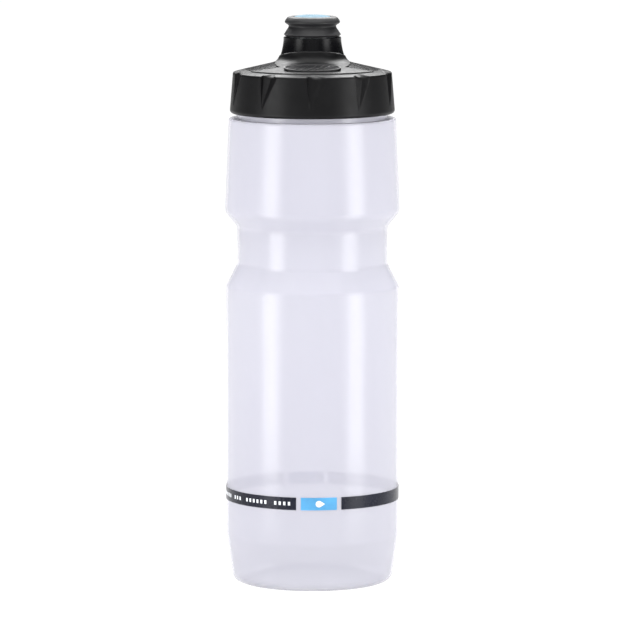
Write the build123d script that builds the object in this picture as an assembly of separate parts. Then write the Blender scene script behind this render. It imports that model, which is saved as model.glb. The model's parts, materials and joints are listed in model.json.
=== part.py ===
"""Soft squeeze water bottle with a screw lid and a pull-up, self-closing drinking nozzle.

Units are millimetres. The origin is the centre of the base, +Z is up and the front of the
print faces -Y. Every physical piece is one STEP file in parts/.
"""
from build123d import *
import os
from math import atan, cos, degrees, radians, sin

# ---- Squeeze body: (radius, height, corner radius) from the base centre to the shoulder ----
WALL = 1.0
WALL_RADIUS = 36.7
BASE_RECESS = (0.0, 4.0)
BASE_OUTLINE = ((20.0, 3.0, 6.0), (25.5, 0.0, 1.5), (33.7, 0.0, 4.0))
BASE_TAPER_TOP = (WALL_RADIUS, 20.2, 12.0)
WAIST_RADIUS = 31.8
WAIST_BOTTOM = (WAIST_RADIUS, 135.7, 4.0)
LOWER_WALL_TOP = (WALL_RADIUS, 125.9, 4.0)
WAIST_TOP = (WAIST_RADIUS, 151.4, 4.0)
UPPER_BULGE = (37.0, 157.6, 4.5)
SHOULDER = (35.3, 197.2, 0.9)
LEDGE_INNER = (31.4, 197.4)

# ---- Threaded neck of the body ----
BEAD_RADIUS = 31.4
BEAD_TOP = 199.1
NECK_RADIUS = 29.0
NECK_BORE_RADIUS = 27.2
NECK_TOP = 211.6
NECK_LIP_ROUND = 0.5

# ---- Screw thread, one start, right handed ----
LEAD = 5.0
THREAD_TURNS = 1.5
THREAD_HEIGHT = 1.4
THREAD_ROOT_OVERLAP = 0.4
NECK_THREAD_START = 201.8
NECK_THREAD_WIDTHS = (2.6, 1.2)
LID_THREAD_START = 202.5
LID_THREAD_WIDTHS = (2.0, 1.0)
LID_THREAD_ANGLE = 180.0

# ---- Lid shell (hard plastic) ----
LID_BORE_RADIUS = 30.8
LID_SKIRT_RADIUS = 32.0
LID_SKIRT_BOTTOM = 200.3
SEAL_SEAT = 213.15
LID_CORNER = ((LID_SKIRT_RADIUS, 213.0), (30.0, 215.6), (28.5, 216.1))
DECK_EDGE_RADIUS = 28.5
DECK_REF = (17.0, 220.5)
DECK_SLOPE = 0.237
PLUG_RADII = (25.2, 26.8)
PLUG_BOTTOM = 209.0
PLUG_ROOT = 216.0
SPOUT_TOP = 231.3
SPOUT_TOP_RADIUS = 12.15
SPOUT_FLARE = ((12.7, 226.5), (14.15, 222.4), (17.6, 220.36))
SPOUT_LIP_BOTTOM = 229.3
SPOUT_LIP_RADIUS = 9.7
SPOUT_BORE_RADIUS = 10.5
SPIDER_SEAT_TOP = 219.0
SPIDER_SEAT_BOTTOM = 217.2
SPIDER_SEAT_RADIUS = 13.2
SPIDER_BOSS_RADIUS = 15.0
SPIDER_BOSS_TOP = 218.4

# ---- Soft grip ring moulded over the lid ----
GRIP_BOTTOM = 199.3
GRIP_BOTTOM_RADIUS = 34.9
GRIP_INNER_LIP_RADIUS = 31.7
GRIP_TOP_RADIUS = 33.55
GRIP_BOTTOM_ROUND = 1.4
GRIP_TOP_ROUND = 0.6
NOTCH_COUNT = 10
NOTCH_FIRST_ANGLE = 2.0
NOTCH_APEX_HEIGHT = 202.0
NOTCH_TOP_HEIGHT = 215.0
NOTCH_WIDTH = 7.6
NOTCH_DEPTH = 1.3
NOTCH_CUTTER = 24.0
POCKET_INNER_RADIUS = 30.4
POCKET_FLOOR_SLOPE = 40.0
POCKET_TOOL_RADIUS = 4.4
POCKET_OFFSET = 3.4

# ---- Raised front panel of the grip ring, with an oval badge ----
PANEL_RAISE = 0.45
PANEL_SINK = 0.4
PANEL_OUTER_RADIUS = 30.0
PANEL_TONGUE = ((11.5, 0.0), (15.6, -11.5), (13.2, -17.0), (25.4, -14.0))
PANEL_SIDE_ANGLE = 62.0
PANEL_TOP_FRONT = 226.3
PANEL_TOP_TILT = 12.0
BADGE_RADIUS_AT = 22.0
BADGE_SIZE = (24.0, 9.8)
BADGE_SINK = 0.5
BADGE_RAISE = 0.35
BADGE_RIM = 0.9
BADGE_RIM_RAISE = 0.25
BADGE_RIPPLES = 3
BADGE_RIPPLE_PITCH = 3.6
BADGE_RIPPLE_WIDTH = 0.9
BADGE_RIPPLE_LEAN = 35.0

# ---- Seal ring between body and lid ----
SEAL_RADII = (27.3, 30.3)
SEAL_GAP = 0.05

# ---- Shut-off pin on a three-legged spider ----
PIN_STEM_RADIUS = 2.4
PIN_TIP_RADIUS = 3.0
PIN_TIP_BOTTOM = 230.6
PIN_TOP = 233.2
PIN_NOSE = 0.5
SPIDER_RING_RADIUS = 11.2
SPIDER_LEG_WIDTH = 1.8
SPIDER_LEGS = 3

# ---- Nozzle slider ----
CORE_HEAD_RADIUS = 10.35
CORE_HEAD = (220.5, 223.7)
CORE_GROOVE_RADIUS = 9.25
CORE_GROOVE = (221.4, 222.8)
CORE_TUBE_RADIUS = 9.65
CORE_TUBE_TOP = 232.0
CORE_UPPER_RADIUS = 8.6
CORE_TOP = 238.0
CORE_BORE_RADIUS = 7.6
CORE_WEB = (231.6, 233.2)
CORE_ORIFICE_RADIUS = 3.05
CORE_UPPER_BORE_RADIUS = 7.2
SEAL_RING_MAJOR = 9.85
SEAL_RING_MINOR = 0.6

# ---- Soft mouthpiece, membrane and the ring that holds it ----
MOUTH_BOTTOM = 231.75
MOUTH_SKIRT = ((11.3, MOUTH_BOTTOM), (12.05, 232.5))
MOUTH_SKIRT_CURVE = ((10.75, 234.5), (10.0, 236.0))
MOUTH_LIP = ((10.35, 236.55), (11.6, 237.6), (10.95, 239.1), (9.4, 240.0))
MOUTH_OPENING_RADIUS = 7.6
MOUTH_OPENING_CHAMFER = 0.4
MEMBRANE_RIM_RADIUS = 8.5
MEMBRANE_RIM = 0.9
MEMBRANE_RADIUS = 7.55
MEMBRANE_EDGE_TOP = 240.1
MEMBRANE_TOP = 240.8
MEMBRANE_THICKNESS = 1.0
MEMBRANE_INNER_RADIUS = 6.4
SLIT_LENGTH = 9.0
SLIT_WIDTH = 0.15
RETAINER_RADIUS = 5.9
RETAINER_HEIGHT = 1.8

# ---- Printed band on the body: ink that is sunk a little into the wall and stands a little proud ----
INK_SINK = 0.15
INK_RAISE = 0.08
MARK_RAISE = 0.04
BAND_BOTTOM = 35.4
BAND_TOP = 40.7
PANEL_CENTRE_ANGLE = 4.3
PANEL_HALF_ANGLE = 11.9
PANEL_GAP_ANGLE = 3.1
DROP_RADIUS = 1.35
DROP_LENGTH = 3.9
DASH_HEIGHT = 1.5
DASH_ANGLE = 1.5
DASH_GROUPS = (4, 6, 3, 7)
DASH_PITCH = 3.2
DASH_GROUP_GAP = 4.2
DASH_START = 4.0

FULL_TURN = 360.0
FRONT_ANGLE = -90.0


def deck_height(radius):
    """Height of the lid's sloping deck at a radius."""
    return DECK_REF[1] - DECK_SLOPE * (radius - DECK_REF[0])


def solid_of_revolution(wire_edges, start_angle=0.0, sweep_angle=FULL_TURN):
    """Turn closed edges in the XZ plane about Z; the sweep starts at start_angle from +X."""
    face = make_face(wire_edges)
    turned = revolve(Plane.XZ * face, Axis.Z, sweep_angle)
    return Rot(0, 0, start_angle) * turned


def ring(inner, outer, bottom, top):
    """Plain ring with a rectangular section."""
    return solid_of_revolution(Polyline((inner, bottom), (outer, bottom), (outer, top), (inner, top), close=True))


def at_azimuth(angle):
    """Placement turned so that its -Y side faces an azimuth measured from the front."""
    return Rot(0, 0, angle)


def helical_ridge(radius, start_height, start_angle, widths, inward):
    """One-start trapezoid ridge of THREAD_TURNS turns, rooted in a wall of this radius."""
    side = -1 if inward else 1
    root, crest = widths
    path = Helix(pitch=LEAD, height=LEAD * THREAD_TURNS, radius=radius)
    section_plane = Plane(origin=path @ 0, x_dir=(1, 0, 0), z_dir=path % 0)
    buried = root / 2 + THREAD_ROOT_OVERLAP * (root - crest) / 2 / THREAD_HEIGHT
    section = make_face(
        Polyline(
            (-side * THREAD_ROOT_OVERLAP, -buried),
            (side * THREAD_HEIGHT, -crest / 2),
            (side * THREAD_HEIGHT, crest / 2),
            (-side * THREAD_ROOT_OVERLAP, buried),
            close=True,
        )
    )
    ridge = sweep(section_plane * section, path=path, is_frenet=True)
    return Pos(0, 0, start_height) * Rot(0, 0, start_angle) * ridge


# ---------------------------------------------------------------- body
def body_half_outline():
    """Outer half outline below the shoulder, closed a little past the axis."""
    corners = (*BASE_OUTLINE, BASE_TAPER_TOP, LOWER_WALL_TOP, WAIST_BOTTOM, WAIST_TOP, UPPER_BULGE, SHOULDER)
    past_axis = -5 * WALL
    start = (past_axis, BASE_RECESS[1])
    end = (past_axis, LEDGE_INNER[1])
    points = [start, *((r, z) for r, z, _ in corners), end]
    outline = FilletPolyline(*points, radius=[radius for _, _, radius in corners])
    return make_face(outline.edges() + [Line(end, start)])


def bottle_body():
    """Blow-moulded shell with the threaded neck."""
    outer = body_half_outline()
    cavity = offset(outer, amount=-WALL)
    right_half = Pos(WALL_RADIUS, NECK_TOP / 2) * Rectangle(2 * WALL_RADIUS, 2 * NECK_TOP)
    bead = Pos(BEAD_RADIUS / 2, (LEDGE_INNER[1] + BEAD_TOP) / 2 - WALL / 2)
    bead_face = bead * Rectangle(BEAD_RADIUS, BEAD_TOP - LEDGE_INNER[1] + WALL)
    neck_face = Pos(NECK_RADIUS / 2, (BEAD_TOP + NECK_TOP) / 2 - WALL) * Rectangle(
        NECK_RADIUS, NECK_TOP - BEAD_TOP + 2 * WALL
    )
    bore_bottom = LEDGE_INNER[1] - 3 * WALL
    bore = Pos(NECK_BORE_RADIUS / 2, bore_bottom + NECK_TOP / 2) * Rectangle(NECK_BORE_RADIUS, NECK_TOP)
    section = ((outer + bead_face + neck_face) - cavity - bore) & right_half
    shell = revolve(Plane.XZ * section, Axis.Z, FULL_TURN)
    mouth_edges = shell.edges().filter_by(GeomType.CIRCLE).group_by(Axis.Z)[-1]
    shell = fillet(mouth_edges, NECK_LIP_ROUND)
    return shell + helical_ridge(NECK_RADIUS, NECK_THREAD_START, 0.0, NECK_THREAD_WIDTHS, inward=False)


# ---------------------------------------------------------------- printed band
def ink_film(start, end, bottom=BAND_BOTTOM, top=BAND_TOP, proud=INK_RAISE):
    """Patch of ink between two azimuths measured from the front."""
    inner, outer = WALL_RADIUS - INK_SINK, WALL_RADIUS + proud
    section = Polyline((inner, bottom), (outer, bottom), (outer, top), (inner, top), close=True)
    return solid_of_revolution(section, start + FRONT_ANGLE, end - start)


def colour_panel(centre):
    """Coloured rectangle of the band."""
    return ink_film(centre - PANEL_HALF_ANGLE, centre + PANEL_HALF_ANGLE)


def dark_band(centre):
    """Dark stretch that runs from one coloured panel to the other."""
    margin = PANEL_HALF_ANGLE + PANEL_GAP_ANGLE
    return ink_film(centre + margin, centre + FULL_TURN / 2 - margin)


def drop_mark(centre):
    """White droplet lying on its side on a coloured panel."""
    reach = DROP_LENGTH - DROP_RADIUS
    touch = degrees(atan(((reach**2 - DROP_RADIUS**2) ** 0.5) / DROP_RADIUS))
    tangent = (DROP_RADIUS * cos(radians(touch)), DROP_RADIUS * sin(radians(touch)))
    mirrored = (tangent[0], -tangent[1])
    outline = [
        Line((reach, 0), tangent),
        ThreePointArc(tangent, (-DROP_RADIUS, 0), mirrored),
        Line(mirrored, (reach, 0)),
    ]
    centre_height = (BAND_BOTTOM + BAND_TOP) / 2
    face = Plane.XZ * make_face(outline)
    block = Pos(0, 0, centre_height) * extrude(face, 2 * WALL_RADIUS)
    film = ink_film(-PANEL_HALF_ANGLE, PANEL_HALF_ANGLE, proud=INK_RAISE + MARK_RAISE)
    return at_azimuth(centre) * (film & block)


def dash_row(centre):
    """Groups of short plain dashes that run away from a coloured panel along the dark band."""
    middle = (BAND_BOTTOM + BAND_TOP) / 2
    azimuth = centre - PANEL_HALF_ANGLE - PANEL_GAP_ANGLE - DASH_START
    dashes = []
    for count in DASH_GROUPS:
        for _ in range(count):
            bottom, top = middle - DASH_HEIGHT / 2, middle + DASH_HEIGHT / 2
            dashes.append(ink_film(azimuth - DASH_ANGLE, azimuth, bottom, top, INK_RAISE + MARK_RAISE))
            azimuth -= DASH_PITCH
        azimuth -= DASH_GROUP_GAP
    return Compound(children=dashes)


# ---------------------------------------------------------------- lid
def flare_edges(raise_by=0.0, last_radius=DECK_EDGE_RADIUS):
    """Spout side and deck as one line from the spout's top outwards, raised off its surface."""
    (neck_r, neck_z), (bend_r, bend_z), (foot_r, foot_z) = SPOUT_FLARE
    top = (SPOUT_TOP_RADIUS + raise_by, SPOUT_TOP)
    diagonal = raise_by * 0.7
    foot = (foot_r, foot_z + raise_by)
    spline = Spline(
        top,
        (neck_r + raise_by, neck_z),
        (bend_r + diagonal, bend_z + diagonal),
        foot,
        tangents=[(0, -1), (1, -DECK_SLOPE)],
    )
    outer = (last_radius, deck_height(last_radius) + raise_by)
    return [spline, Line(foot, outer)], top, outer


def lid_blank():
    """Hard lid before the grip ring's material is taken out of it."""
    top_edges, spout_edge, deck_end = flare_edges()
    inside = Polyline(
        deck_end,
        LID_CORNER[2],
        LID_CORNER[1],
        LID_CORNER[0],
        (LID_SKIRT_RADIUS, LID_SKIRT_BOTTOM),
        (LID_BORE_RADIUS, LID_SKIRT_BOTTOM),
        (LID_BORE_RADIUS, SEAL_SEAT),
        (PLUG_RADII[1], SEAL_SEAT),
        (PLUG_RADII[1], PLUG_BOTTOM),
        (PLUG_RADII[0], PLUG_BOTTOM),
        (PLUG_RADII[0], PLUG_ROOT),
        (SPIDER_BOSS_RADIUS, SPIDER_BOSS_TOP),
        (SPIDER_BOSS_RADIUS, SPIDER_SEAT_BOTTOM),
        (SPIDER_SEAT_RADIUS, SPIDER_SEAT_BOTTOM),
        (SPIDER_SEAT_RADIUS, SPIDER_SEAT_TOP),
        (SPOUT_BORE_RADIUS, SPIDER_SEAT_TOP),
        (SPOUT_BORE_RADIUS, SPOUT_LIP_BOTTOM),
        (SPOUT_LIP_RADIUS, SPOUT_LIP_BOTTOM),
        (SPOUT_LIP_RADIUS, SPOUT_TOP),
        spout_edge,
    )
    return solid_of_revolution(top_edges + inside.edges())


def grip_blank():
    """Soft ring over the skirt and the rim of the deck, before its notches."""
    deck_end = (DECK_EDGE_RADIUS, deck_height(DECK_EDGE_RADIUS))
    outline = FilletPolyline(
        (GRIP_INNER_LIP_RADIUS, GRIP_BOTTOM),
        (GRIP_BOTTOM_RADIUS, GRIP_BOTTOM),
        (GRIP_TOP_RADIUS, deck_height(GRIP_TOP_RADIUS)),
        deck_end,
        radius=(GRIP_BOTTOM_ROUND, GRIP_TOP_ROUND),
    )
    inside = Polyline(
        deck_end,
        LID_CORNER[2],
        LID_CORNER[1],
        LID_CORNER[0],
        (LID_SKIRT_RADIUS, LID_SKIRT_BOTTOM),
        (GRIP_INNER_LIP_RADIUS, LID_SKIRT_BOTTOM),
        (GRIP_INNER_LIP_RADIUS, GRIP_BOTTOM),
    )
    return solid_of_revolution(outline.edges() + inside.edges())


def skirt_radius(height):
    """Outer radius of the grip ring's side at a height."""
    top = deck_height(GRIP_TOP_RADIUS)
    share = (height - GRIP_BOTTOM) / (top - GRIP_BOTTOM)
    return GRIP_BOTTOM_RADIUS + share * (GRIP_TOP_RADIUS - GRIP_BOTTOM_RADIUS)


def notch_cutter(azimuth):
    """Finger notch: a leaning facet below a round pocket, both ending at one upright step."""
    left = -NOTCH_WIDTH / 2
    apex = Vector(left, -skirt_radius(NOTCH_APEX_HEIGHT), NOTCH_APEX_HEIGHT)
    deep = Vector(left, NOTCH_DEPTH - skirt_radius(NOTCH_TOP_HEIGHT), NOTCH_TOP_HEIGHT)
    shallow = Vector(-left, -skirt_radius(NOTCH_TOP_HEIGHT), NOTCH_TOP_HEIGHT)
    up = (deep - apex).normalized()
    normal = (shallow - apex).cross(deep - apex).normalized()
    across = up.cross(normal).normalized()
    facet_plane = Plane(origin=apex, x_dir=across, z_dir=normal)
    facet = facet_plane * Box(NOTCH_CUTTER, NOTCH_CUTTER, NOTCH_CUTTER, align=(Align.MIN, Align.MIN, Align.MIN))
    floor_tilt = Rot(POCKET_FLOOR_SLOPE - 90, 0, 0)
    floor_start = Pos(left + POCKET_OFFSET, -POCKET_INNER_RADIUS, deck_height(POCKET_INNER_RADIUS))
    pocket = Cylinder(POCKET_TOOL_RADIUS, NOTCH_CUTTER, align=(Align.CENTER, Align.CENTER, Align.MIN))
    pocket = floor_start * floor_tilt * Pos(0, -POCKET_TOOL_RADIUS, -3 * NOTCH_CUTTER / 4) * pocket
    right_of_step = Pos(left, 0, 0) * Box(
        NOTCH_CUTTER, 3 * NOTCH_CUTTER, 2 * SPOUT_TOP, align=(Align.MIN, Align.MAX, Align.CENTER)
    )
    return at_azimuth(azimuth) * ((facet + pocket) & right_of_step)


def front_panel():
    """Raised panel that climbs from the deck onto the foot of the spout."""
    upper, upper_top, upper_end = flare_edges(PANEL_RAISE, PANEL_OUTER_RADIUS)
    lower, lower_top, lower_end = flare_edges(-PANEL_SINK, PANEL_OUTER_RADIUS)
    band = solid_of_revolution(upper + lower + [Line(upper_top, lower_top), Line(upper_end, lower_end)])
    side = radians(PANEL_SIDE_ANGLE)
    reach = 1.2 * PANEL_OUTER_RADIUS
    rim = (reach * sin(side), -reach * cos(side))
    right = [*PANEL_TONGUE, rim, (reach, -reach)]
    plan = make_face(Polyline(*right, *((-x, y) for x, y in reversed(right)), close=True))
    prism = extrude(plan, SPOUT_TOP)
    below = Pos(0, -SPOUT_FLARE[0][0], PANEL_TOP_FRONT) * Rot(-PANEL_TOP_TILT, 0, 0) * Box(
        3 * reach, 3 * reach, SPOUT_TOP, align=(Align.CENTER, Align.CENTER, Align.MAX)
    )
    return band & prism & below


def grip_ring():
    """Soft grip ring with its notches and the raised front panel."""
    blank = grip_blank() + front_panel()
    for index in range(NOTCH_COUNT):
        blank -= notch_cutter(NOTCH_FIRST_ANGLE + index * FULL_TURN / NOTCH_COUNT)
    return blank - badge_seat()


def badge_plane():
    """Plane on the front panel, square to the deck, at the badge's centre."""
    tilt = degrees(atan(DECK_SLOPE))
    height = deck_height(BADGE_RADIUS_AT) + PANEL_RAISE
    return Pos(0, -BADGE_RADIUS_AT, height) * Rot(tilt, 0, 0)


def badge_seat():
    """Block of the badge's outline that clears its seat."""
    face = Ellipse(BADGE_SIZE[0] / 2, BADGE_SIZE[1] / 2)
    return badge_plane() * Pos(0, 0, -BADGE_SINK) * extrude(face, BADGE_SINK + 2)


def badge():
    """Oval badge with a rim and three plain slanted bars."""
    half_x, half_y = BADGE_SIZE[0] / 2, BADGE_SIZE[1] / 2
    plate = Pos(0, 0, -BADGE_SINK) * extrude(Ellipse(half_x, half_y), BADGE_SINK + BADGE_RAISE)
    rim_face = Ellipse(half_x, half_y) - Ellipse(half_x - BADGE_RIM, half_y - BADGE_RIM)
    rim = extrude(rim_face, BADGE_RAISE + BADGE_RIM_RAISE)
    inner_face = Ellipse(half_x - BADGE_RIM / 2, half_y - BADGE_RIM / 2)
    plate += rim
    for index in range(BADGE_RIPPLES):
        shift = (index - (BADGE_RIPPLES - 1) / 2) * BADGE_RIPPLE_PITCH
        stroke = Pos(shift, 0) * Rot(0, 0, -BADGE_RIPPLE_LEAN) * Rectangle(BADGE_RIPPLE_WIDTH, BADGE_SIZE[1])
        plate += extrude(stroke & inner_face, BADGE_RAISE + BADGE_RIM_RAISE)
    return badge_plane() * plate


def lid_shell(grip):
    """Hard lid: threaded skirt, deck, plug seal and glossy spout."""
    thread = helical_ridge(LID_BORE_RADIUS, LID_THREAD_START, LID_THREAD_ANGLE, LID_THREAD_WIDTHS, inward=True)
    return lid_blank() + thread - grip - badge_seat()


def lid_seal():
    """Flat ring squeezed between the body's mouth and the lid."""
    return ring(SEAL_RADII[0], SEAL_RADII[1], NECK_TOP + SEAL_GAP, SEAL_SEAT - SEAL_GAP)


def shutoff_pin():
    """Pin that plugs the nozzle when it is pushed down, on a spider clipped under the spout."""
    spider = ring(SPIDER_RING_RADIUS, SPIDER_SEAT_RADIUS, SPIDER_SEAT_BOTTOM, SPIDER_SEAT_TOP)
    height = SPIDER_SEAT_TOP - SPIDER_SEAT_BOTTOM
    for index in range(SPIDER_LEGS):
        leg = Pos(0, 0, SPIDER_SEAT_BOTTOM) * Box(
            SPIDER_RING_RADIUS + PIN_STEM_RADIUS / 2, SPIDER_LEG_WIDTH, height, align=(Align.MIN, Align.CENTER, Align.MIN)
        )
        spider += Rot(0, 0, index * FULL_TURN / SPIDER_LEGS - FRONT_ANGLE) * leg
    pin = Polyline(
        (0, SPIDER_SEAT_BOTTOM),
        (PIN_STEM_RADIUS, SPIDER_SEAT_BOTTOM),
        (PIN_STEM_RADIUS, PIN_TIP_BOTTOM - PIN_NOSE),
        (PIN_TIP_RADIUS, PIN_TIP_BOTTOM),
        (PIN_TIP_RADIUS, PIN_TOP - PIN_NOSE),
        (PIN_TIP_RADIUS - PIN_NOSE, PIN_TOP),
        (0, PIN_TOP),
        close=True,
    )
    return spider + solid_of_revolution(pin)


# ---------------------------------------------------------------- nozzle
def nozzle_core():
    """Hard slider: piston head with a seal groove, guide tube and the web that the pin plugs."""
    section = Polyline(
        (CORE_BORE_RADIUS, CORE_HEAD[0]),
        (CORE_HEAD_RADIUS, CORE_HEAD[0]),
        (CORE_HEAD_RADIUS, CORE_GROOVE[0]),
        (CORE_GROOVE_RADIUS, CORE_GROOVE[0]),
        (CORE_GROOVE_RADIUS, CORE_GROOVE[1]),
        (CORE_HEAD_RADIUS, CORE_GROOVE[1]),
        (CORE_HEAD_RADIUS, CORE_HEAD[1]),
        (CORE_TUBE_RADIUS, CORE_HEAD[1]),
        (CORE_TUBE_RADIUS, CORE_TUBE_TOP),
        (CORE_UPPER_RADIUS, CORE_TUBE_TOP),
        (CORE_UPPER_RADIUS, CORE_TOP),
        (CORE_UPPER_BORE_RADIUS, CORE_TOP),
        (CORE_UPPER_BORE_RADIUS, CORE_WEB[1]),
        (CORE_ORIFICE_RADIUS, CORE_WEB[1]),
        (CORE_ORIFICE_RADIUS, CORE_WEB[0]),
        (CORE_BORE_RADIUS, CORE_WEB[0]),
        close=True,
    )
    return solid_of_revolution(section)


def slider_seal():
    """Round seal ring in the slider's groove."""
    centre_height = (CORE_GROOVE[0] + CORE_GROOVE[1]) / 2
    return Pos(0, 0, centre_height) * Torus(SEAL_RING_MAJOR, SEAL_RING_MINOR)


def mouthpiece():
    """Soft bite nozzle with a flared skirt, a bite groove and a rolled lip."""
    skirt_end = MOUTH_SKIRT[1]
    groove = MOUTH_SKIRT_CURVE[1]
    lip_top = MOUTH_LIP[-1]
    skirt = Spline(skirt_end, MOUTH_SKIRT_CURVE[0], groove, tangents=[(-1, 1.2), (-0.1, 1)])
    lip = Spline(groove, *MOUTH_LIP, tangents=[(0.1, 1), (-1, 0.1)])
    rim_top = CORE_TOP + MEMBRANE_RIM
    inside = Polyline(
        lip_top,
        (MOUTH_OPENING_RADIUS + MOUTH_OPENING_CHAMFER, lip_top[1]),
        (MOUTH_OPENING_RADIUS, lip_top[1] - MOUTH_OPENING_CHAMFER),
        (MOUTH_OPENING_RADIUS, rim_top),
        (CORE_UPPER_RADIUS, rim_top),
        (CORE_UPPER_RADIUS, CORE_TUBE_TOP),
        (CORE_TUBE_RADIUS, CORE_TUBE_TOP),
        (CORE_TUBE_RADIUS, MOUTH_BOTTOM),
        MOUTH_SKIRT[0],
        skirt_end,
    )
    return solid_of_revolution([skirt, lip] + inside.edges())


def crown_arc(edge, crown):
    """Arc of a dome from its edge to its crown on the axis, level at the crown."""
    rise = crown[1] - edge[1]
    dome_radius = (edge[0] ** 2 + rise**2) / (2 * rise)
    middle = edge[0] / 2
    drop = dome_radius - (dome_radius**2 - middle**2) ** 0.5
    return ThreePointArc(edge, (middle, crown[1] - drop), crown)


def membrane_valve():
    """Self-closing silicone dome with a cross slit and a clamped rim."""
    edge_top = (MEMBRANE_RADIUS, MEMBRANE_EDGE_TOP)
    rim_top = CORE_TOP + MEMBRANE_RIM
    crown = (0, MEMBRANE_TOP)
    under = (0, MEMBRANE_TOP - MEMBRANE_THICKNESS)
    under_edge = (MEMBRANE_INNER_RADIUS, MEMBRANE_EDGE_TOP - MEMBRANE_THICKNESS)
    edges = [crown_arc(edge_top, crown), Line(crown, under), crown_arc(under_edge, under)]
    rim = Polyline(
        under_edge,
        (MEMBRANE_INNER_RADIUS, CORE_TOP),
        (MEMBRANE_RIM_RADIUS, CORE_TOP),
        (MEMBRANE_RIM_RADIUS, rim_top),
        (MEMBRANE_RADIUS, rim_top),
        edge_top,
    )
    dome = solid_of_revolution(edges + rim.edges())
    for angle in (45.0, 135.0):
        dome -= Pos(0, 0, MEMBRANE_TOP) * Rot(0, 0, angle) * Box(SLIT_LENGTH, SLIT_WIDTH, 4 * MEMBRANE_THICKNESS)
    return dome


def valve_retainer():
    """Clip ring that backs the membrane's rim inside the slider."""
    return ring(RETAINER_RADIUS, CORE_UPPER_BORE_RADIUS, CORE_TOP - RETAINER_HEIGHT, CORE_TOP)


def printed_nodes():
    """Every node of the print, with the marks let into the ink under them."""
    back = PANEL_CENTRE_ANGLE + FULL_TURN / 2
    marks = {
        "drop_mark_front": drop_mark(PANEL_CENTRE_ANGLE),
        "drop_mark_back": drop_mark(back),
        "dash_row_left": dash_row(PANEL_CENTRE_ANGLE),
        "dash_row_right": dash_row(back),
    }
    return {
        "print_panel_front": colour_panel(PANEL_CENTRE_ANGLE) - marks["drop_mark_front"],
        "print_panel_back": colour_panel(back) - marks["drop_mark_back"],
        "print_band_right": dark_band(PANEL_CENTRE_ANGLE) - marks["dash_row_right"],
        "print_band_left": dark_band(back) - marks["dash_row_left"],
        **marks,
    }


def ink_recess():
    """Space that the print takes out of the wall."""
    back = PANEL_CENTRE_ANGLE + FULL_TURN / 2
    panels = [colour_panel(PANEL_CENTRE_ANGLE), colour_panel(back)]
    return panels + [dark_band(PANEL_CENTRE_ANGLE), dark_band(back)]


def build_all():
    """Every node of the bottle by name."""
    grip = grip_ring()
    return {
        "bottle_body": bottle_body() - ink_recess(),
        **printed_nodes(),
        "lid_seal": lid_seal(),
        "lid_shell": lid_shell(grip),
        "grip_ring": grip,
        "badge": badge(),
        "shutoff_pin": shutoff_pin(),
        "nozzle_core": nozzle_core(),
        "slider_seal": slider_seal(),
        "mouthpiece": mouthpiece(),
        "membrane_valve": membrane_valve(),
        "valve_retainer": valve_retainer(),
    }


os.makedirs("parts", exist_ok=True)
for node_name, node_shape in build_all().items():
    export_step(node_shape, f"parts/{node_name}.step")
    print(node_name, round(node_shape.volume, 2))
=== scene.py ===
"""Looks of a soft bicycle water bottle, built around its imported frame, in metres with +Z up."""
import json
import logging
import math
from dataclasses import dataclass, field
from enum import Enum

import bpy
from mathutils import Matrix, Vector

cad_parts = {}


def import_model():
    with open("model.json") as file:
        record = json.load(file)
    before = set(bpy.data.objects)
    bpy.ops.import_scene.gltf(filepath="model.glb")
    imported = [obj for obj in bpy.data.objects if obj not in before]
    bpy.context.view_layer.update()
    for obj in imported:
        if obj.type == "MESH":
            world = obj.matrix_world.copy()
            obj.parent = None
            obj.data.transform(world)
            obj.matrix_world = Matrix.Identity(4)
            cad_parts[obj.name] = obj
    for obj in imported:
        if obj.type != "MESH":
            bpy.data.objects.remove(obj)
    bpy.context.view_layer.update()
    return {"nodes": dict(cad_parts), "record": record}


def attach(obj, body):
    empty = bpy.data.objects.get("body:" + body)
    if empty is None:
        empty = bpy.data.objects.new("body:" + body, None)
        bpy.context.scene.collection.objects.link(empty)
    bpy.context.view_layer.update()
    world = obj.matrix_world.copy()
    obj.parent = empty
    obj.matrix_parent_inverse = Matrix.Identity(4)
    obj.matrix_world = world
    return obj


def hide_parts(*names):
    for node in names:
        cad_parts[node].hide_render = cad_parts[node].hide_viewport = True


LOG = logging.getLogger("bottle")
MM = 0.001
NOISE_LOW, NOISE_HIGH = 0.3, 0.7
Colour = tuple[float, float, float]


class Body(Enum):
    """The rigid bodies of the frame that pieces ride on."""

    BOTTLE = "bottle"
    LID = "lid"
    NOZZLE = "nozzle"


class Grain(Enum):
    """How a moulded surface was finished in its tool."""

    POLISHED = "polished"
    SATIN = "satin"


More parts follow.
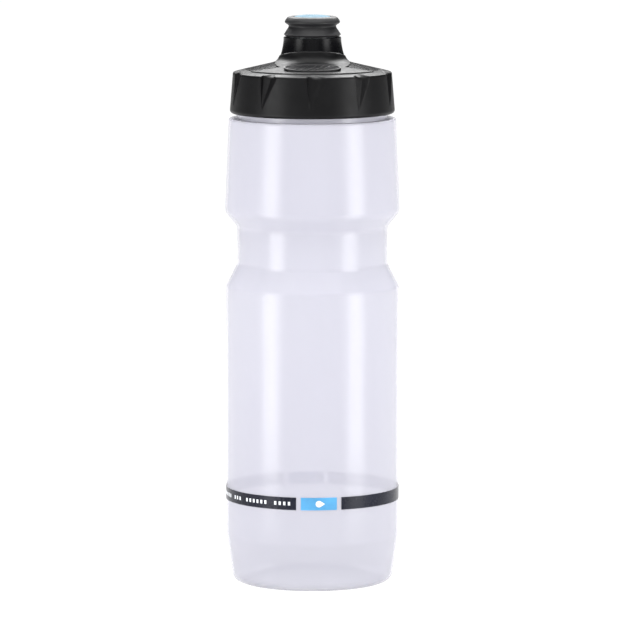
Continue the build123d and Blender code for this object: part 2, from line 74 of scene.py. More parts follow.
class NodeSheet:
    """A material's node tree with one Principled shader and short ways to add nodes to it."""

    def __init__(self, name: str) -> None:
        """Start an empty material with its shader and output.

        Args:
            name: name of the new material.
        """
        self.material = bpy.data.materials.new(name)
        self.material.use_nodes = True
        self.tree = self.material.node_tree
        self.shader = self.tree.nodes["Principled BSDF"]
        self.coords = self.add("ShaderNodeTexCoord")

    def add(self, kind: str, **settings: object) -> bpy.types.Node:
        """Add a node.

        Args:
            kind: the node's type.
            settings: attributes set on the node.

        Returns:
            The new node.
        """
        node = self.tree.nodes.new(kind)
        for key, value in settings.items():
            setattr(node, key, value)
        return node

    def link(self, source: bpy.types.NodeSocket, target: bpy.types.NodeSocket) -> None:
        """Join two sockets."""
        self.tree.links.new(source, target)

    def set(self, **values: object) -> None:
        """Set the shader's own sockets; underscores in a name stand for spaces."""
        for key, value in values.items():
            self.shader.inputs[key.replace("_", " ")].default_value = value

    def noise(self, size: float, detail: float = 2.0, roughness: float = 0.5) -> bpy.types.NodeSocket:
        """Add noise in object space.

        Args:
            size: size of its larger features, in metres.
            detail: number of finer layers.
            roughness: strength of the finer layers.

        Returns:
            The noise's value, about 0.5 on average.
        """
        node = self.add("ShaderNodeTexNoise")
        node.inputs["Scale"].default_value = 1.0 / size
        node.inputs["Detail"].default_value = detail
        node.inputs["Roughness"].default_value = roughness
        self.link(self.coords.outputs["Object"], node.inputs["Vector"])
        return node.outputs["Fac"]

    def remap(self, source: bpy.types.NodeSocket, low: float, high: float) -> bpy.types.NodeSocket:
        """Stretch a noise value onto a range.

        Args:
            source: value to stretch.
            low: result at NOISE_LOW.
            high: result at NOISE_HIGH.

        Returns:
            The stretched value.
        """
        node = self.add("ShaderNodeMapRange")
        node.inputs["From Min"].default_value = NOISE_LOW
        node.inputs["From Max"].default_value = NOISE_HIGH
        node.inputs["To Min"].default_value = low
        node.inputs["To Max"].default_value = high
        self.link(source, node.inputs["Value"])
        return node.outputs["Result"]

    def tint(self, source: bpy.types.NodeSocket, dark: Colour, light: Colour) -> None:
        """Drive the shader's colour from a value.

        Args:
            source: value from 0 to 1.
            dark: colour at NOISE_LOW.
            light: colour at NOISE_HIGH.
        """
        ramp = self.add("ShaderNodeValToRGB")
        first, last = ramp.color_ramp.elements
        first.position, last.position = NOISE_LOW, NOISE_HIGH
        first.color, last.color = (*dark, 1.0), (*light, 1.0)
        self.link(source, ramp.inputs["Fac"])
        self.link(ramp.outputs["Color"], self.shader.inputs["Base Color"])

    def bump(self, *layers: tuple[bpy.types.NodeSocket, float]) -> None:
        """Stack bump layers on the shader's normal.

        Args:
            layers: pairs of a height value and its depth in metres.
        """
        previous = None
        for height, depth in layers:
            node = self.add("ShaderNodeBump")
            node.inputs["Distance"].default_value = depth
            self.link(height, node.inputs["Height"])
            if previous is not None:
                self.link(previous, node.inputs["Normal"])
            previous = node.outputs["Normal"]
        if previous is not None:
            self.link(previous, self.shader.inputs["Normal"])


@dataclass(frozen=True)
class MouldedFinish:
    """Opaque moulded plastic, rubber or ink with slight unevenness in colour, gloss and surface."""

    name: str
    colour: Colour
    roughness: float
    grain: Grain
    specular: float = 0.5
    colour_spread: float = 0.15
    gloss_spread: float = 0.06
    cloud_size: float = 9 * MM
    wear_size: float = 3 * MM
    flow_size: float = 14 * MM
    flow_depth: float = 0.05 * MM
    grain_size: float = 0.35 * MM
    grain_depth: float = 0.006 * MM

    def material(self) -> bpy.types.Material:
        """Build the finish.

        Returns:
            The new material.
        """
        sheet = NodeSheet(self.name)
        sheet.set(Specular_IOR_Level=self.specular)
        cloud = sheet.noise(self.cloud_size, detail=4.0)
        dark = tuple(c * (1 - self.colour_spread) for c in self.colour)
        light = tuple(min(1.0, c * (1 + self.colour_spread)) for c in self.colour)
        sheet.tint(cloud, dark, light)
        wear = sheet.noise(self.wear_size, detail=5.0, roughness=0.65)
        gloss = sheet.remap(wear, self.roughness - self.gloss_spread, self.roughness + self.gloss_spread)
        sheet.link(gloss, sheet.shader.inputs["Roughness"])
        flow = (sheet.noise(self.flow_size, detail=1.0), self.flow_depth)
        if self.grain is Grain.POLISHED:
            sheet.bump(flow)
        else:
            sheet.bump(flow, (sheet.noise(self.grain_size), self.grain_depth))
        return sheet.material


@dataclass(frozen=True)
class TranslucentFinish:
    """Milky soft plastic that lets part of the light and of what is behind it through."""

    name: str
    colour: Colour
    cloud_colour: Colour
    roughness: float
    opacity: float
    specular: float
    gloss_spread: float = 0.02
    cloud_size: float = 60 * MM
    wear_size: float = 18 * MM
    flow_size: float = 45 * MM
    flow_depth: float = 0.12 * MM

    def material(self) -> bpy.types.Material:
        """Build the finish.

        Returns:
            The new material.
        """
        sheet = NodeSheet(self.name)
        sheet.set(Specular_IOR_Level=self.specular, IOR=1.5, Alpha=self.opacity)
        sheet.tint(sheet.noise(self.cloud_size, detail=0.0), self.cloud_colour, self.colour)
        wear = sheet.noise(self.wear_size, detail=1.0)
        gloss = sheet.remap(wear, self.roughness - self.gloss_spread, self.roughness + self.gloss_spread)
        sheet.link(gloss, sheet.shader.inputs["Roughness"])
        sheet.bump((sheet.noise(self.flow_size, detail=0.0), self.flow_depth))
        return sheet.material


class Palette:
    """Every finish of the bottle, made once and handed out by the record's slot name."""

    def __init__(self) -> None:
        """Make all the finishes."""
        self.by_slot = {finish.name: finish.material() for finish in self.finishes()}

    @staticmethod
    def finishes() -> list[MouldedFinish | TranslucentFinish]:
        """List the finishes.

        Returns:
            One finish for each of the record's slots.
        """
        return [
            TranslucentFinish(
                "body_plastic", (0.548, 0.545, 0.612), (0.538, 0.533, 0.606),
                roughness=0.24, opacity=0.52, specular=0.56,
            ),
            MouldedFinish("ink_blue", (0.07, 0.30, 0.56), 0.34, Grain.SATIN),
            MouldedFinish("ink_dark", (0.008, 0.009, 0.018), 0.27, Grain.SATIN, specular=0.2),
            MouldedFinish("ink_white", (0.80, 0.82, 0.86), 0.4, Grain.SATIN, colour_spread=0.04),
            MouldedFinish("seal_rubber", (0.35, 0.36, 0.38), 0.5, Grain.SATIN),
            MouldedFinish(
                "lid_gloss", (0.0022, 0.0022, 0.0028), 0.27, Grain.POLISHED, specular=0.13, gloss_spread=0.03,
            ),
            MouldedFinish("grip_rubber", (0.003, 0.003, 0.0034), 0.42, Grain.SATIN, specular=0.15),
            MouldedFinish("badge_plastic", (0.008, 0.008, 0.009), 0.36, Grain.SATIN, specular=0.25),
            MouldedFinish("inner_plastic", (0.08, 0.085, 0.09), 0.35, Grain.SATIN),
            MouldedFinish("nozzle_rubber", (0.012, 0.012, 0.013), 0.5, Grain.SATIN, specular=0.3),
            MouldedFinish(
                "membrane", (0.088, 0.165, 0.215), 0.6, Grain.SATIN, specular=0.12, colour_spread=0.04,
            ),
        ]

    def dress(self, piece: bpy.types.Object, slot: str) -> None:
        """Give a piece the finish of a slot.

        Args:
            piece: object to dress.
            slot: the record's slot name.
        """
        material = self.by_slot[slot]
        if piece.material_slots:
            for place in piece.material_slots:
                place.material = material
        else:
            piece.data.materials.append(material)


@dataclass
class FrameParts:
    """The parts of the frame that keep their own shape and only get a finish."""

    palette: Palette
    slots: dict[str, str] = field(default_factory=dict)

    def dress(self, nodes: dict[str, bpy.types.Object]) -> None:
        """Give each part the finish that its slot names.

        Args:
            nodes: the frame's parts by name.
        """
        for name, node in nodes.items():
            self.palette.dress(node, self.slots[name])
            LOG.info("dressed %s in %s", name, self.slots[name])


def around(azimuth: float, radius: float, height: float) -> tuple[float, float, float]:
    """Place a point around the bottle's axis.

    Args:
        azimuth: direction from the front in radians, positive to the right.
        radius: distance from the axis in millimetres.
        height: height in millimetres.

    Returns:
        The point in metres.
    """
    return (radius * math.sin(azimuth) * MM, -radius * math.cos(azimuth) * MM, height * MM)


def smooth_least(one: float, other: float, blend: float) -> float:
    """Take the smaller of two lengths, rounded where they cross.

    Args:
        one: first length.
        other: second length.
        blend: length over which the corner is rounded.

    Returns:
        The rounded smaller length.
    """
    share = max(blend - abs(one - other), 0.0) / blend
    return min(one, other) - share * share * blend / 4


def smooth_step(value: float) -> float:
    """Ease from 0 to 1 as a value goes from 0 to 1."""
    value = min(max(value, 0.0), 1.0)
    return value * value * (3 - 2 * value)


def select_only(active: bpy.types.Object, *others: bpy.types.Object) -> None:
    """Select some objects and nothing else.

    Args:
        active: object that becomes the active one.
        others: further objects to select.
    """
    bpy.ops.object.select_all(action="DESELECT")
    for piece in (active, *others):
        piece.select_set(True)
    bpy.context.view_layer.objects.active = active


def finish_mesh(name: str, points: list[tuple[float, float, float]], faces: list[tuple[int, ...]],
                crease: float = 35.0) -> bpy.types.Object:
    """Turn points and faces into one smooth, closed object with outward faces.

    Args:
        name: the object's name.
        points: corners in metres.
        faces: corner numbers of each face.
        crease: angle in degrees above which an edge stays sharp.

    Returns:
        The new object, selected and active.
    """
    mesh = bpy.data.meshes.new(name)
    mesh.from_pydata(points, [], faces)
    piece = bpy.data.objects.new(name, mesh)
    bpy.context.scene.collection.objects.link(piece)
    select_only(piece)
    bpy.ops.object.mode_set(mode="EDIT")
    bpy.ops.mesh.select_all(action="SELECT")
    bpy.ops.mesh.remove_doubles(threshold=1e-6)
    bpy.ops.mesh.normals_make_consistent(inside=False)
    bpy.ops.object.mode_set(mode="OBJECT")
    bpy.ops.object.shade_smooth_by_angle(angle=math.radians(crease))
    return piece


@dataclass
class CapProfile:
    """Outline of the lid's top: a sloping deck that sweeps up into the spout (millimetres)."""

    flare: tuple[tuple[float, float], ...] = ((12.15, 231.3), (12.7, 226.5), (14.15, 222.4), (17.6, 220.36))
    deck_mark: tuple[float, float] = (17.0, 220.5)
    slope: float = 0.237
    spout_slope: tuple[float, float] = (-0.1, 1.0)
    steps: int = 24

    def deck(self, radius: float) -> float:
        """Height of the deck at a radius."""
        return self.deck_mark[1] - self.slope * (radius - self.deck_mark[0])

    def climb(self, outer: float) -> list[tuple[float, float]]:
        """Trace the outline inwards from a radius on the deck to the top of the spout.

        Args:
            outer: radius at which the trace starts.

        Returns:
            Radius and height of each point.
        """
        run = outer - self.flare[-1][0]
        radii = [outer - run * k / self.steps for k in range(self.steps)]
        line = [(radius, self.deck(radius)) for radius in radii]
        knots = list(reversed(self.flare))
        slopes = [(-1.0, self.slope)]
        for before, after in zip(knots, knots[2:]):
            slopes.append((after[0] - before[0], after[1] - before[1]))
        slopes.append(self.spout_slope)
        for (start, end), (leave, arrive) in zip(zip(knots, knots[1:]), zip(slopes, slopes[1:])):
            reach = math.dist(start, end)
            out = [c * reach / math.hypot(*leave) for c in leave]
            into = [c * reach / math.hypot(*arrive) for c in arrive]
            for k in range(self.steps):
                t = k / self.steps
                line.append(tuple(
                    start[i] * (2 * t**3 - 3 * t**2 + 1) + out[i] * (t**3 - 2 * t**2 + t)
                    + end[i] * (3 * t**2 - 2 * t**3) + into[i] * (t**3 - t**2)
                    for i in (0, 1)
                ))
        return line + [self.flare[0]]


@dataclass
class GripRing:
    """Soft ring around the lid with ten leaning finger notches that end in pockets (millimetres)."""

    palette: Palette
    profile: CapProfile
    notches: int = 10
    first_angle: float = 0.0
    left_top: float = -4.2
    left_lean: float = 2.0
    right_top: float = 9.8
    tip_height: float = 202.2
    rim_height: float = 216.0
    depth: float = 1.42
    ramp: float = 0.42
    facet_slope: float = 0.42
    edge_round: float = 0.10
    bottom: float = 199.3
    bottom_radius: float = 34.9
    top_radius: float = 33.55
    bottom_round: float = 1.4
    rim_round: float = 0.75
    inner_edge: float = 28.5
    pocket_start: float = 29.8
    pocket_slope: float = 0.62
    pocket_centre: float = 4.1
    pocket_width: float = 5.2
    pocket_bowl: float = 1.25
    deck_steps: int = 18
    rim_steps: int = 7
    side_steps: int = 36
    foot_steps: int = 6
    bore_radius: float = 31.7
    bore_chamfer: tuple[float, float] = (0.6, 0.25)
    bore_top: float = 200.3
    seat_radius: float = 31.98
    seat_bottom: float = 200.35
    seat_top: float = 213.0
    roof: tuple[tuple[float, float], ...] = ((31.2, 214.6), (30.0, 215.6))
    roof_height: float = 216.1

    def side_radius(self, height: float) -> float:
        """Radius of the plain ring at a height."""
        share = (height - self.bottom) / (self.rim_height - self.bottom)
        return self.bottom_radius + share * (self.top_radius - self.bottom_radius)

    def facet_depth(self, across: float, height: float) -> float:
        """Depth of the leaning facets.

        Args:
            across: distance to the right of the upright step.
            height: height on the ring.

        Returns:
            Depth below the plain ring.
        """
        up = (height - self.tip_height) / (self.rim_height - self.tip_height)
        if across <= 0 or up <= 0:
            return 0.0
        width = up * math.radians(self.right_top - self.left_top) * self.top_radius
        slope = smooth_least(self.depth * min(up, 1.05), (width - across) * self.facet_slope, self.edge_round)
        return max(slope, 0.0) * smooth_step(across / self.ramp)

    def top_height(self, across: float, radius: float) -> float:
        """Height of the ring's top, lowered inside a pocket.

        Args:
            across: distance to the right of the upright step.
            radius: distance from the axis.

        Returns:
            Height of the top surface.
        """
        deck = self.profile.deck(radius)
        aside = min(abs(across - self.pocket_centre), self.pocket_width)
        bowl = self.pocket_width - math.sqrt(self.pocket_width**2 - aside**2)
        start = self.profile.deck(self.pocket_start)
        floor = start - self.pocket_slope * (radius - self.pocket_start) + self.pocket_bowl * bowl
        lowered = smooth_least(deck, floor, self.edge_round)
        return deck + (lowered - deck) * smooth_step(across / self.ramp)

    def section(self, across: float) -> list[tuple[float, float]]:
        """Trace one upright section, from the inner edge of the deck outwards, down and back inside.

        Args:
            across: distance to the right of the upright step.

        Returns:
            Radius and height of each point of the closed section.
        """
        corner_height = self.rim_height
        for _ in range(5):
            corner = self.side_radius(corner_height) - self.facet_depth(across, corner_height)
            corner_height = self.top_height(across, corner)
        line = []
        end = corner - self.rim_round
        for k in range(self.deck_steps + 1):
            radius = self.inner_edge + (end - self.inner_edge) * k / self.deck_steps
            line.append((radius, self.top_height(across, radius)))
        low = corner_height - self.rim_round
        last = (self.side_radius(low) - self.facet_depth(across, low), low)
        first = line[-1]
        for k in range(1, self.rim_steps):
            t = k / self.rim_steps
            line.append(tuple(
                first[i] * (1 - t) ** 2 + 2 * (corner, corner_height)[i] * t * (1 - t) + last[i] * t**2
                for i in (0, 1)
            ))
        foot = self.bottom + self.bottom_round
        for k in range(self.side_steps + 1):
            height = low + (foot - low) * k / self.side_steps
            line.append((self.side_radius(height) - self.facet_depth(across, height), height))
        for k in range(1, self.foot_steps + 1):
            turn = math.radians(90.0 / self.foot_steps * k)
            line.append((
                self.side_radius(foot) - self.bottom_round * (1 - math.cos(turn)),
                foot - self.bottom_round * math.sin(turn),
            ))
        run, rise = self.bore_chamfer
        line += [(self.bore_radius + run, self.bottom), (self.bore_radius, self.bottom + rise)]
        line += [(self.bore_radius, self.bore_top), (self.seat_radius, self.seat_bottom)]
        line += [(self.seat_radius, self.seat_top), *self.roof, (self.inner_edge, self.roof_height)]
        return line

    def columns(self) -> list[float]:
        """List the angles of one notch's sections, closer together at the step.

        Returns:
            Degrees from the step.
        """
        near = [0.12 * k for k in range(-4, 9)]
        facet = [0.96 + 0.37 * k for k in range(1, 39)]
        plain = [15.4 + 1.2 * k for k in range(0, 17)]
        return near + facet + [angle for angle in plain if angle < 35.2]

    def build(self) -> bpy.types.Object:
        """Build the ring.

        Returns:
            The ring, riding on the lid.
        """
        points, rows = [], 0
        columns = self.columns()
        pitch = 360.0 / self.notches
        for index in range(self.notches):
            for angle in columns:
                line = self.section(math.radians(angle) * self.top_radius)
                rows = len(line)
                for radius, height in line:
                    lean = self.left_lean * (self.rim_height - height) / (self.rim_height - self.tip_height)
                    azimuth = math.radians(self.first_angle + pitch * index + self.left_top + angle + lean)
                    points.append(around(azimuth, radius, height))
        total = len(columns) * self.notches
        faces = [
            (here + r, here + (r + 1) % rows, beside + (r + 1) % rows, beside + r)
            for here, beside in ((c * rows, (c + 1) % total * rows) for c in range(total))
            for r in range(rows)
        ]
        piece = finish_mesh("grip_ring_soft", points, faces)
        self.palette.dress(piece, "grip_rubber")
        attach(piece, Body.LID.value)
        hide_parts("grip_ring")
        LOG.info("built %s with %d faces", piece.name, len(piece.data.polygons))
        return piece


@dataclass
class FrontPanel:
    """Raised soft panel from the front of the deck up onto the spout (millimetres)."""

    palette: Palette
    profile: CapProfile
    outer: float = 29.9
    raise_by: float = 0.45
    sink: float = 0.36
    edge_round: float = 0.7
    top_front: float = 226.3
    top_tilt: float = 12.0
    half_angles: tuple[tuple[float, float], ...] = (
        (11.0, 89.0), (13.2, 88.0), (15.5, 80.0), (17.5, 66.0), (19.4, 52.5), (21.5, 41.0), (23.5, 45.0),
        (26.0, 53.5), (29.0, 60.5), (30.5, 62.0),
    )
    spout_radius: float = 12.5
    spout_half_angle: float = 88.0
    edge_lift: float = 0.3
    across_steps: int = 120
    along_steps: int = 70

    def half_angle(self, radius: float) -> float:
        """Half of the panel's angle at a radius, eased between its known widths."""
        for (near, narrow), (far, wide) in zip(self.half_angles, self.half_angles[1:]):
            if radius <= far:
                return narrow + (wide - narrow) * smooth_step((radius - near) / (far - near))
        return self.half_angles[-1][1]

    def build(self) -> bpy.types.Object:
        """Build the panel.

        Returns:
            The panel, riding on the lid.
        """
        climb = self.profile.climb(self.outer)
        lengths = [0.0]
        for before, after in zip(climb, climb[1:]):
            lengths.append(lengths[-1] + math.dist(before, after))
        outside, inside = [], []
        for i in range(self.across_steps + 1):
            share = math.sin(math.pi / 2 * (2 * i / self.across_steps - 1))
            y = -self.spout_radius * math.cos(math.radians(share * self.spout_half_angle))
            limit = self.top_front - math.tan(math.radians(self.top_tilt)) * (y + self.spout_radius)
            top = next(s for s, (r, z) in zip(lengths, climb) if z >= limit)
            for j in range(self.along_steps + 1):
                along = smooth_step(j / self.along_steps) * 0.5 + j / self.along_steps * 0.5
                self.add_pair(outside, inside, climb, lengths, share, along, top)
        points = outside + inside
        rows, count = self.along_steps + 1, len(outside)
        faces = []
        for i in range(self.across_steps):
            for j in range(self.along_steps):
                a, b = i * rows + j, (i + 1) * rows + j
                faces.append((a, b, b + 1, a + 1))
                faces.append((count + a, count + a + 1, count + b + 1, count + b))
        border = list(range(rows)) + [i * rows + rows - 1 for i in range(1, self.across_steps + 1)]
        border += [self.across_steps * rows + j for j in range(rows - 2, -1, -1)]
        border += [i * rows for i in range(self.across_steps - 1, 0, -1)]
        for k, a in enumerate(border):
            b = border[(k + 1) % len(border)]
            faces.append((a, b, count + b, count + a))
        piece = finish_mesh("front_panel_soft", points, faces)
        self.palette.dress(piece, "grip_rubber")
        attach(piece, Body.LID.value)
        LOG.info("built %s with %d faces", piece.name, len(piece.data.polygons))
        return piece

    def add_pair(self, outside: list, inside: list, climb: list, lengths: list, share: float, along: float,
                 top: float) -> None:
        """Add one point of the panel's face and the one below it.

        Args:
            outside: points of the face.
            inside: points of the underside.
            climb: the lid's outline.
            lengths: distance along the outline of each of its points.
            share: place across the panel, from -1 to 1.
            along: place along the panel, from 0 to 1.
            top: distance along the outline at which the panel ends.
        """
        reach = along * top
        k = max(1, next((i for i, s in enumerate(lengths) if s >= reach), len(lengths) - 1))
        t = (reach - lengths[k - 1]) / (lengths[k] - lengths[k - 1])
        radius = climb[k - 1][0] + t * (climb[k][0] - climb[k - 1][0])
        height = climb[k - 1][1] + t * (climb[k][1] - climb[k - 1][1])
        step = Vector((climb[k][0] - climb[k - 1][0], climb[k][1] - climb[k - 1][1])).normalized()
        normal = (step.y, -step.x)
        half = math.radians(self.half_angle(radius))
        to_side = (1 - abs(share)) * half * radius
        to_end = min(reach, top - reach)
        lift = smooth_step(min(to_side, to_end) / self.edge_round)
        azimuth = share * half
        raised = (self.raise_by + self.sink) * (self.edge_lift + (1 - self.edge_lift) * lift) - self.sink
        for points, offset in ((outside, raised), (inside, -self.sink)):
            points.append(around(azimuth, radius + normal[0] * offset, height + normal[1] * offset))


@dataclass
class Membrane:
    """Pale drinking membrane: a low dome with a rolled rim and a cross slit (millimetres)."""

    palette: Palette
    outline: tuple[tuple[float, float], ...] = (
        (0.0, 240.5), (1.6, 240.54), (3.4, 240.56), (5.0, 240.5), (6.3, 240.32), (7.3, 240.05), (8.0, 239.7),
        (8.3, 239.4), (8.3, 239.1), (8.2, 238.0), (7.0, 238.0), (6.4, 238.6), (4.0, 239.2), (0.0, 239.3),
    )
    slit_length: float = 9.0
    slit_width: float = 0.22
    slit_depth: float = 1.4
    slit_angles: tuple[float, ...] = (45.0, 135.0)

    def build(self) -> bpy.types.Object:
        """Build the membrane.

        Returns:
            The membrane, riding on the nozzle.
        """
        piece = self.spun_dome()
        for angle in self.slit_angles:
            self.cut_slit(piece, angle)
        bpy.ops.object.shade_smooth_by_angle(angle=math.radians(40.0))
        self.palette.dress(piece, "membrane")
        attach(piece, Body.NOZZLE.value)
        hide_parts("membrane_valve")
        LOG.info("built %s with %d faces", piece.name, len(piece.data.polygons))
        return piece

    def spun_dome(self) -> bpy.types.Object:
        """Spin the outline into a closed dome.

        Returns:
            The dome.
        """
        mesh = bpy.data.meshes.new("membrane_soft")
        points = [(radius * MM, 0.0, height * MM) for radius, height in self.outline]
        mesh.from_pydata(points, [(k, k + 1) for k in range(len(points) - 1)], [])
        piece = bpy.data.objects.new("membrane_soft", mesh)
        bpy.context.scene.collection.objects.link(piece)
        select_only(piece)
        bpy.ops.object.mode_set(mode="EDIT")
        bpy.ops.mesh.select_all(action="SELECT")
        bpy.ops.mesh.spin(steps=96, angle=2 * math.pi, center=(0.0, 0.0, 0.0), axis=(0.0, 0.0, 1.0))
        bpy.ops.mesh.select_all(action="SELECT")
        bpy.ops.mesh.remove_doubles(threshold=5e-6)
        bpy.ops.mesh.normals_make_consistent(inside=False)
        bpy.ops.object.mode_set(mode="OBJECT")
        return piece

    def cut_slit(self, piece: bpy.types.Object, angle: float) -> None:
        """Cut one straight slit into the dome.

        Args:
            piece: the dome.
            angle: direction of the slit in degrees.
        """
        crown = (0.0, 0.0, self.outline[0][1] * MM)
        bpy.ops.mesh.primitive_cube_add(size=1.0, location=crown, rotation=(0.0, 0.0, math.radians(angle)))
        blade = bpy.context.object
        blade.scale = (self.slit_length * MM, self.slit_width * MM, self.slit_depth * MM)
        select_only(piece)
        cut = piece.modifiers.new("slit", "BOOLEAN")
        cut.operation, cut.solver, cut.object = "DIFFERENCE", "EXACT", blade
        bpy.ops.object.modifier_apply(modifier=cut.name)
        bpy.data.objects.remove(blade)


@dataclass
class OvalBadge:
    """Oval badge with a rolled rim and slanted ripples, lying on the front panel (millimetres)."""

    palette: Palette
    profile: CapProfile
    radius_at: float = 22.0
    half_length: float = 12.0
    half_width: float = 4.9
    thickness: float = 0.95
    rise: float = 0.42
    rim: float = 0.85
    dish: float = 0.30
    edge_round: float = 0.16
    ripples: int = 5
    ripple_pitch: float = 2.9
    ripple_width: float = 0.75
    ripple_lean: float = 32.0
    ripple_height: float = 0.42
    ripple_round: float = 0.18
    ripple_fill: float = 0.9
    ripple_margin: tuple[float, float] = (1.6, 0.5)
    dish_wall: float = 0.2
    panel_raise: float = 0.45

    def build(self) -> bpy.types.Object:
        """Build the badge.

        Returns:
            The badge, riding on the lid.
        """
        plate = self.plate()
        ripples = [self.ripple(k) for k in range(self.ripples)]
        select_only(plate, *ripples)
        bpy.ops.object.join()
        tilt = math.atan(self.profile.slope)
        seat = self.profile.deck(self.radius_at) + self.panel_raise
        plate.location = (0.0, -self.radius_at * MM, seat * MM)
        plate.rotation_euler = (tilt, 0.0, 0.0)
        bpy.ops.object.transform_apply(location=True, rotation=True, scale=True)
        bpy.ops.object.shade_smooth_by_angle(angle=math.radians(50.0))
        self.palette.dress(plate, "badge_plastic")
        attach(plate, Body.LID.value)
        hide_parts("badge")
        LOG.info("built %s with %d faces", plate.name, len(plate.data.polygons))
        return plate

    def plate(self) -> bpy.types.Object:
        """Make the oval plate with its rim, lying flat at the origin.

        Returns:
            The plate.
        """
        bpy.ops.object.select_all(action="DESELECT")
        middle = (0.0, 0.0, (self.rise - self.thickness / 2) * MM)
        depth = self.thickness * MM
        bpy.ops.mesh.primitive_cylinder_add(vertices=128, radius=1.0, depth=depth, location=middle)
        plate = bpy.context.object
        plate.name = "badge_oval"
        plate.scale = (self.half_length * MM, self.half_width * MM, 1.0)
        bpy.ops.object.transform_apply(location=True, rotation=False, scale=True)
        bpy.ops.object.mode_set(mode="EDIT")
        bpy.ops.mesh.select_all(action="DESELECT")
        bpy.ops.object.mode_set(mode="OBJECT")
        for face in plate.data.polygons:
            face.select = face.normal.z > 0.9
        bpy.ops.object.mode_set(mode="EDIT")
        bpy.ops.mesh.select_mode(type="FACE")
        bpy.ops.mesh.inset(thickness=self.rim * MM)
        bpy.ops.mesh.inset(thickness=self.dish_wall * MM, depth=-self.dish * MM)
        bpy.ops.object.mode_set(mode="OBJECT")
        bevel = plate.modifiers.new("round", "BEVEL")
        bevel.width, bevel.segments, bevel.angle_limit = self.edge_round * MM, 3, math.radians(30.0)
        bpy.ops.object.modifier_apply(modifier=bevel.name)
        return plate

    def ripple(self, index: int) -> bpy.types.Object:
        """Make one slanted ripple.

        Args:
            index: place in the row, from the left.

        Returns:
            The ripple.
        """
        x = (index - (self.ripples - 1) / 2) * self.ripple_pitch
        margin = self.ripple_margin
        inner = (self.half_length - self.rim - margin[0], self.half_width - self.rim - margin[1])
        reach = inner[1] * math.sqrt(max(1 - (x / inner[0]) ** 2, 0.2))
        length = 2 * reach / math.cos(math.radians(self.ripple_lean))
        bpy.ops.object.select_all(action="DESELECT")
        bpy.ops.mesh.primitive_cube_add(size=1.0, location=(x * MM, 0.0, (self.rise - self.dish - 0.02) * MM))
        bar = bpy.context.object
        bar.scale = (self.ripple_width * MM, length * self.ripple_fill * MM, self.ripple_height * MM)
        bar.rotation_euler = (0.0, 0.0, math.radians(-self.ripple_lean))
        bpy.ops.object.transform_apply(location=True, rotation=True, scale=True)
        bevel = bar.modifiers.new("round", "BEVEL")
        bevel.width, bevel.segments = self.ripple_round * MM, 3
        bpy.ops.object.modifier_apply(modifier=bevel.name)
        return bar


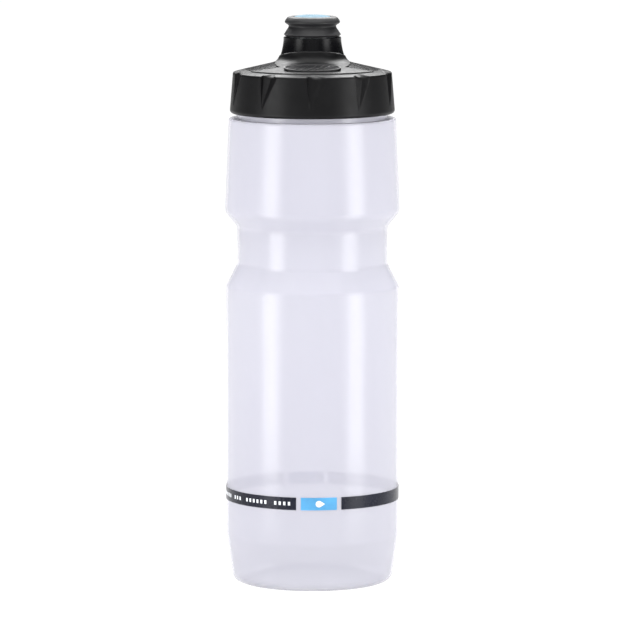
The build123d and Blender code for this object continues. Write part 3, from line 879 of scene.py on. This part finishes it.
@dataclass
class Studio:
    """Pale floor, two tall soft boxes beside the bottle, three broad lights further off and the camera."""

    camera_distance: float = 2.20
    camera_height: float = 0.380
    lens: float = 303.6
    aim_height: float = 0.1155
    side_step: float = -0.001
    floor_side: float = 16.0
    floor_glow: float = 1.02
    floor_shade: float = 0.12
    room_glow: float = 0.05
    box_reach: float = 0.30
    box_base: float = -0.01
    box_height: float = 0.31
    box_width: float = 0.12
    box_power: float = 0.78
    lid_height: float = 0.22

    def build(self) -> None:
        """Set up the floor, lights and camera."""
        self.set_world()
        self.add_floor()
        self.add_soft_box("left box", -54.0)
        self.add_soft_box("right box", 57.0)
        self.add_broad_light("back light", Vector((0.0, 0.72, 1.0)), (1.2, 0.7), 34.0)
        self.add_broad_light("top fill", Vector((0.0, -0.2, 1.3)), (1.6, 1.4), 28.0)
        self.add_broad_light("front fill", Vector((0.0, -1.5, 0.7)), (1.4, 1.2), 4.0)
        self.add_camera()

    def set_world(self) -> None:
        """Fill the room with a dim even light."""
        world = bpy.data.worlds.new("room")
        world.use_nodes = True
        background = world.node_tree.nodes["Background"]
        background.inputs["Color"].default_value = (1.0, 1.0, 1.0, 1.0)
        background.inputs["Strength"].default_value = self.room_glow
        bpy.context.scene.world = world
        bpy.context.scene.view_settings.view_transform = "Standard"

    def add_floor(self) -> None:
        """Add the pale floor, lit a little from within so that it stays even."""
        bpy.ops.mesh.primitive_plane_add(size=self.floor_side, location=(0.0, 0.0, 0.0))
        floor = bpy.context.object
        floor.name = "floor"
        sheet = NodeSheet("floor paint")
        shade = (self.floor_shade, self.floor_shade, self.floor_shade, 1.0)
        sheet.set(Base_Color=shade, Roughness=0.9, Specular_IOR_Level=0.1)
        sheet.set(Emission_Color=(1.0, 1.0, 1.0, 1.0), Emission_Strength=self.floor_glow)
        floor.data.materials.append(sheet.material)

    def add_lamp(self, name: str, place: Vector, target: Vector, size: tuple[float, float],
                 power: float) -> None:
        """Add a rectangular soft light.

        Args:
            name: the light's name.
            place: its centre.
            target: point that it faces.
            size: its width and height.
            power: its power in watts.
        """
        light = bpy.data.lights.new(name, "AREA")
        light.shape = "RECTANGLE"
        light.size, light.size_y = size
        light.energy = power
        lamp = bpy.data.objects.new(name, light)
        lamp.location = place
        lamp.rotation_euler = (target - place).to_track_quat("-Z", "Y").to_euler()
        lamp.visible_camera = False
        bpy.context.scene.collection.objects.link(lamp)

    def add_soft_box(self, name: str, angle: float) -> None:
        """Add a tall soft box beside the bottle.

        Args:
            name: the light's name.
            angle: direction from the front, in degrees, positive to the right.
        """
        turn = math.radians(angle)
        middle = self.box_base + self.box_height / 2
        place = Vector((self.box_reach * math.sin(turn), -self.box_reach * math.cos(turn), middle))
        size = (self.box_width, self.box_height)
        self.add_lamp(name, place, Vector((0.0, 0.0, middle)), size, self.box_power)

    def add_broad_light(self, name: str, place: Vector, size: tuple[float, float], power: float) -> None:
        """Add a broad light that faces the lid.

        Args:
            name: the light's name.
            place: its centre.
            size: its width and depth.
            power: its power in watts.
        """
        self.add_lamp(name, place, Vector((0.0, 0.0, self.lid_height)), size, power)

    def add_camera(self) -> None:
        """Add the long-lens camera."""
        data = bpy.data.cameras.new("camera")
        data.lens = self.lens
        data.sensor_width = 36.0
        camera = bpy.data.objects.new("camera", data)
        place = Vector((self.side_step, -self.camera_distance, self.camera_height))
        target = Vector((self.side_step, 0.0, self.aim_height))
        camera.location = place
        camera.rotation_euler = (target - place).to_track_quat("-Z", "Y").to_euler()
        bpy.context.scene.collection.objects.link(camera)
        bpy.context.scene.camera = camera


def main() -> None:
    """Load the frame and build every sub-assembly in order."""
    logging.basicConfig(level=logging.INFO, format="%(message)s")
    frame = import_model()
    bpy.ops.object.select_all(action="DESELECT")
    palette = Palette()
    slots = {part["node"]: part["material_slot"] for part in frame["record"]["subparts"]}
    FrameParts(palette, slots).dress(frame["nodes"])
    profile = CapProfile()
    GripRing(palette, profile).build()
    FrontPanel(palette, profile).build()
    OvalBadge(palette, profile).build()
    Membrane(palette).build()
    Studio().build()


if __name__ == "__main__":
    main()
